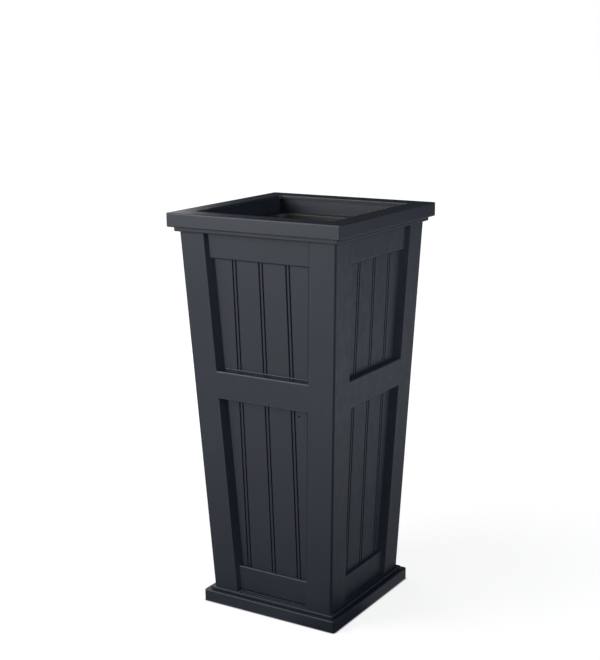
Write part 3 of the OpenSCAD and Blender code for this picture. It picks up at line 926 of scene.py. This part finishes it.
pads = Shell()
for corner in range(4):
    place = (Matrix.Rotation(math.radians(90 * corner), 4, "Z")
             @ Matrix.Translation((PAD_AT, -PAD_AT, 0)))
    pads.rings(eased([
        (0, 0, 0, 0),
        (PAD_R, 0, PAD_FOOT_R, 0),
        (PAD_R, FLOOR_Z, PAD_TOP_R, 0),
        (PAD_STUD_R, FLOOR_Z, 0, 0),
        (PAD_STUD_R, FLOOR_Z + PAD_STUD_L, PAD_STUD_TIP_R, 0),
        (0, FLOOR_Z + PAD_STUD_L, 0, 0),
    ], closed=False, spread=RUBBER_EDGE_FADE), closed=False, steps=8, place=place)
pads.make("foot_pads_rubber", RUBBER, "planter", ["foot_pads"], "rubber")


# The screws, each with a driver socket in its head

def add_screw(shell, place, length):
    """A screw along its place's z, from the face of its head."""
    shell.rings([
        (0, SOCKET_TIP_D, 0, 0),
        (SOCKET_R, SOCKET_D, 0, 0),
        (SOCKET_MOUTH_R, SOCKET_MOUTH_D, 0, 0),
        (SCREW_HEAD_R - RIM_W, RIM_TOP_D, 0, 0),
        (SCREW_HEAD_R, RIM_FOOT_D, 0, 0),
        (SCREW_R, SCREW_HEAD_H, 0, 0),
        (SCREW_R, length - POINT_L, 0, 0),
        (POINT_R, length, 0, 0),
        (0, length, 0, 0),
    ], closed=False, steps=6, place=place)


INTO_WALL = Matrix.Rotation(math.radians(90), 4, "X")
post_screws = Shell()
cleat_screws = Shell()
floor_screws = Shell()
post_centre = WALL_T + POST_W / 2
post_foot = FLOOR_Z + FLOOR_T
screw_run = FLANGE_Z - post_foot - 2 * POST_SCREW_END - POST_SCREW_STAGGER
cleat_screw_u = -(WALL_T + POST_W + CLEAT_SCREW_IN)
for side in range(4):
    # The screws of neighbouring sides pass each other in a post
    shift = 0 if side % 2 == 0 else POST_SCREW_STAGGER
    for hand in HANDS.values():
        at = edge_frame(side, hand)
        for i in range(POST_SCREW_COUNT):
            z = post_foot + POST_SCREW_END + shift + i * screw_run / (POST_SCREW_COUNT - 1)
            start = Matrix.Translation((-post_centre, WALL_T + POST_W, up_face(z)))
            add_screw(post_screws, at @ start @ INTO_WALL, POST_W + SCREW_BITE)
        start = Matrix.Translation(
            (cleat_screw_u, WALL_T + CLEAT_T, up_face(FLANGE_Z - CLEAT_H / 2)))
        add_screw(cleat_screws, at @ start @ INTO_WALL, CLEAT_T + SCREW_BITE)
    reach = behind(post_foot, post_centre)
    add_screw(floor_screws, Matrix.Rotation(math.radians(90 * side), 4, "Z")
              @ Matrix.Translation((reach, -reach, FLOOR_Z)), FLOOR_T + FLOOR_SCREW_BITE)
post_screws.make("post_screws_steel", STEEL, "planter", ["post_screws"], "screw_steel")
cleat_screws.make("cleat_screws_steel", STEEL, "planter", ["cleat_screws"], "screw_steel")
floor_screws.make("floor_screws_steel", STEEL, "planter", ["floor_screws"], "screw_steel")


# The inner frame keeps its CAD shapes, with eased edges

def dress(name, material, ease):
    """Give a CAD node its material. Modifiers join its points and its flat faces, and ease
    its edges."""
    node = bpy.data.objects[name]
    for slot in node.material_slots:
        slot.material = material
    weld = node.modifiers.new("weld", "WELD")
    weld.merge_threshold = CAD_WELD
    flatten = node.modifiers.new("flatten", "DECIMATE")
    flatten.decimate_type = "DISSOLVE"
    flatten.angle_limit = math.radians(0.5)
    bevel = node.modifiers.new("eased", "BEVEL")
    bevel.width = ease * MM
    bevel.segments = 3
    bevel.limit_method = "ANGLE"
    bevel.angle_limit = math.radians(40)
    bevel.harden_normals = True


for corner_name in ("front_right", "back_right", "back_left", "front_left"):
    dress(corner_name + "_post", TIMBER_UP, TIMBER_EASE)
for side_name in ("front", "back"):
    dress(side_name + "_cleat", TIMBER_X, TIMBER_EASE)
for side_name in ("left", "right"):
    dress(side_name + "_cleat", TIMBER_Y, TIMBER_EASE)
dress("floor_panel", FLOOR_DARK, FLOOR_EASE)


# Camera, from the fit to the photograph's corners and edges. Its angles are in degrees, but
# the roll is in radians. Its focal length and centre are in pixels.

TARGET = Vector((0, 0, HEIGHT / 2))
AZIMUTH = 31.564
ELEVATION = 16.159
DISTANCE = 2563.9
FOCAL_PX = 1250.1
CENTRE_PX = (5.77, 76.25)
ROLL = -0.009
IMAGE_H = 660
SENSOR = 36


def toward(azimuth, elevation=0):
    """The way out from the planter at an azimuth, which runs from the front side towards the
    right, and an elevation, both in degrees."""
    azimuth = math.radians(azimuth)
    elevation = math.radians(elevation)
    return Vector((math.sin(azimuth) * math.cos(elevation),
                   -math.cos(azimuth) * math.cos(elevation),
                   math.sin(elevation)))


to_camera = toward(AZIMUTH, ELEVATION)
level_right = (-to_camera).cross(Vector((0, 0, 1))).normalized()
level_up = level_right.cross(-to_camera)
right = math.cos(ROLL) * level_right + math.sin(ROLL) * level_up
up = math.cos(ROLL) * level_up - math.sin(ROLL) * level_right
camera_data = bpy.data.cameras.new("camera")
camera_data.sensor_width = SENSOR
camera_data.lens = FOCAL_PX / IMAGE_H * SENSOR
camera_data.shift_x = -CENTRE_PX[0] / IMAGE_H
camera_data.shift_y = CENTRE_PX[1] / IMAGE_H
camera_data.clip_end = 50
camera = bpy.data.objects.new("camera", camera_data)
bpy.context.scene.collection.objects.link(camera)
turned = Matrix((right, up, to_camera)).transposed().to_4x4()
camera.matrix_world = Matrix.Translation((TARGET + to_camera * DISTANCE) * MM) @ turned
bpy.context.scene.camera = camera


# Stage and light, in metres. A light on the floor or the wall rises between two cosines of
# the angle to its azimuth. Pools of light lie on the floor in front, to the right and behind,
# as (azimuth, from, to, levels), with a level at each distance from the planter.

POOL_DISTANCES = (0.25, 0.6, 1.3, 3.0, 7.0)
FLOOR_POOLS = (
    (-13, 0.67, 0.92, (0.22, 0.48, 0.86, 0.9, 0.0)),
    (120, 0.69, 0.99, (0.2, 0.3, 0.7, 1.1, 0.0)),
    (222, 0.62, 0.95, (0.15, 0.3, 0.7, 0.9, 0.0)),
)
FLOOR_REACH = 8.0
# The floor's light where no pool lies, and the slightly cool tint of all its light
FLOOR_DIM = 0.05
FLOOR_TINT = (0.94, 0.98, 1.05, 1)
# The wall is lit on the front left, as (azimuth, from, to). Its light fades out between two
# sines of the elevation, and the rest of the surroundings is dim.
WALL_LIGHT = (-55, 0.25, 0.71)
WALL_LEVEL = 1.35
WALL_FADE = (0.25, 0.8)
WALL_DIM = 0.04

# The floor that the camera sees: a grey that takes shadows, under a glow that makes it white.
# The glow is weaker near the planter, and nearly gone under an edge that stands on the floor.
FLOOR_HALF = 12
FLOOR_GREY = (0.32, 0.32, 0.32, 1)
NEAR_GLOW = 0.82
GLOW_RISE = (0.5, 2.0)
CONTACT_GLOW = 0.05
CONTACT_REACH = 0.004

# Soft lamps round a point on the planter's axis, as (name, azimuth, elevation, watts, colour)
LAMPS = (
    ("key", -45, 32, 24.5, (1, 1, 1)),
    ("low_fill", -30, 15, 7, (1, 1, 1)),
    ("right_fill", 85, 24, 23, (0.86, 0.91, 1)),
    ("back_fill", 238, 10, 13, (1, 1, 1)),
)
LAMP_AIM = 0.45
LAMP_DISTANCE = 2.3
LAMP_SIZE = 1.2


def vector_maths(nodes, links, operation, vector):
    """A vector node with an output as its first vector."""
    node = nodes.new("ShaderNodeVectorMath")
    node.operation = operation
    links.new(vector, node.inputs[0])
    return node


def lobe(nodes, links, vector, azimuth, low, high):
    """How much of a light at an azimuth lies where a vector points to."""
    flat = vector_maths(nodes, links, "MULTIPLY", vector)
    flat.inputs[1].default_value = (1, 1, 0)
    unit = vector_maths(nodes, links, "NORMALIZE", flat.outputs["Vector"])
    dot = vector_maths(nodes, links, "DOT_PRODUCT", unit.outputs["Vector"])
    dot.inputs[1].default_value = toward(azimuth)
    return remap(nodes, links, dot.outputs["Value"], (low, high), (0, 1), "SMOOTHSTEP")


def pick(nodes, links, seen, lit):
    """Show the camera, and rays that came through a piece, one shader. The other lights and
    reflects in the planter."""
    path = nodes.new("ShaderNodeLightPath")
    shows = maths(nodes, links, "MAXIMUM", path.outputs["Is Camera Ray"],
                  path.outputs["Is Transmission Ray"])
    node = nodes.new("ShaderNodeMixShader")
    links.new(shows, node.inputs[0])
    links.new(lit.outputs[0], node.inputs[1])
    links.new(seen.outputs[0], node.inputs[2])
    return node.outputs[0]


def floor_material():
    """Pale floor, which the camera sees as white where nothing shades it. The planter
    reflects its pools of light."""
    material, nodes, links = shader("studio_floor")
    nodes.remove(nodes["Principled BSDF"])
    position = nodes.new("ShaderNodeNewGeometry").outputs["Position"]
    distance = vector_maths(nodes, links, "LENGTH", position).outputs["Value"]
    share = maths(nodes, links, "DIVIDE", distance, FLOOR_REACH)
    light = FLOOR_DIM
    for azimuth, low, high, levels in FLOOR_POOLS:
        ramp = nodes.new("ShaderNodeValToRGB")
        stops = ramp.color_ramp.elements
        while len(stops) < len(levels):
            stops.new(0.5)
        for stop, metres, value in zip(stops, POOL_DISTANCES, levels):
            stop.position = metres / FLOOR_REACH
            stop.color = (value, value, value, 1)
        links.new(share, ramp.inputs[0])
        spread = lobe(nodes, links, position, azimuth, low, high)
        pool = maths(nodes, links, "MULTIPLY", ramp.outputs["Color"], spread)
        light = maths(nodes, links, "ADD", pool, light)
    reflected = nodes.new("ShaderNodeEmission")
    reflected.inputs["Color"].default_value = FLOOR_TINT
    links.new(light, reflected.inputs["Strength"])
    shaded = nodes.new("ShaderNodeBsdfDiffuse")
    shaded.inputs["Color"].default_value = FLOOR_GREY
    contact = nodes.new("ShaderNodeAmbientOcclusion")
    contact.inputs["Distance"].default_value = CONTACT_REACH
    glow = nodes.new("ShaderNodeEmission")
    far = remap(nodes, links, distance, GLOW_RISE, (NEAR_GLOW, 1))
    near = remap(nodes, links, contact.outputs["AO"], (0.5, 1), (CONTACT_GLOW, 1))
    links.new(maths(nodes, links, "MULTIPLY", far, near), glow.inputs["Strength"])
    white = nodes.new("ShaderNodeAddShader")
    links.new(shaded.outputs[0], white.inputs[0])
    links.new(glow.outputs[0], white.inputs[1])
    links.new(pick(nodes, links, white, reflected), nodes["Material Output"].inputs["Surface"])
    return material


floor_mesh = bpy.data.meshes.new("studio_floor")
floor_mesh.from_pydata([(-FLOOR_HALF, -FLOOR_HALF, 0), (FLOOR_HALF, -FLOOR_HALF, 0),
                        (FLOOR_HALF, FLOOR_HALF, 0), (-FLOOR_HALF, FLOOR_HALF, 0)],
                       [], [(0, 1, 2, 3)])
floor_mesh.materials.append(floor_material())
floor = bpy.data.objects.new("studio_floor", floor_mesh)
bpy.context.scene.collection.objects.link(floor)


def studio_world():
    """A surrounding that the camera sees as white. Its lit wall lights the planter."""
    world = bpy.data.worlds.new("studio")
    world.use_nodes = True
    nodes = world.node_tree.nodes
    links = world.node_tree.links
    direction = nodes.new("ShaderNodeTexCoord").outputs["Generated"]
    white = nodes.new("ShaderNodeBackground")
    white.inputs["Color"].default_value = (1, 1, 1, 1)
    soft = nodes.new("ShaderNodeBackground")
    soft.inputs["Color"].default_value = (1, 1, 1, 1)
    axes = nodes.new("ShaderNodeSeparateXYZ")
    links.new(direction, axes.inputs[0])
    fade = remap(nodes, links, axes.outputs["Z"], WALL_FADE, (WALL_LEVEL, 0), "SMOOTHSTEP")
    wall = maths(nodes, links, "MULTIPLY", lobe(nodes, links, direction, *WALL_LIGHT), fade)
    links.new(maths(nodes, links, "ADD", wall, WALL_DIM), soft.inputs["Strength"])
    links.new(pick(nodes, links, white, soft), nodes["World Output"].inputs["Surface"])
    return world


bpy.context.scene.world = studio_world()


def area_light(name, azimuth, elevation, watts, colour):
    """A soft square lamp, which the camera doesn't see."""
    data = bpy.data.lights.new(name, "AREA")
    data.size = LAMP_SIZE
    data.energy = watts
    data.color = colour
    lamp = bpy.data.objects.new(name, data)
    lamp.visible_camera = False
    bpy.context.scene.collection.objects.link(lamp)
    target = Vector((0, 0, LAMP_AIM))
    place = target + toward(azimuth, elevation) * LAMP_DISTANCE
    lamp.location = place
    lamp.rotation_euler = (target - place).to_track_quat("-Z", "Y").to_euler()


for lamp_row in LAMPS:
    area_light(*lamp_row)

bpy.context.scene.view_settings.view_transform = "Standard"
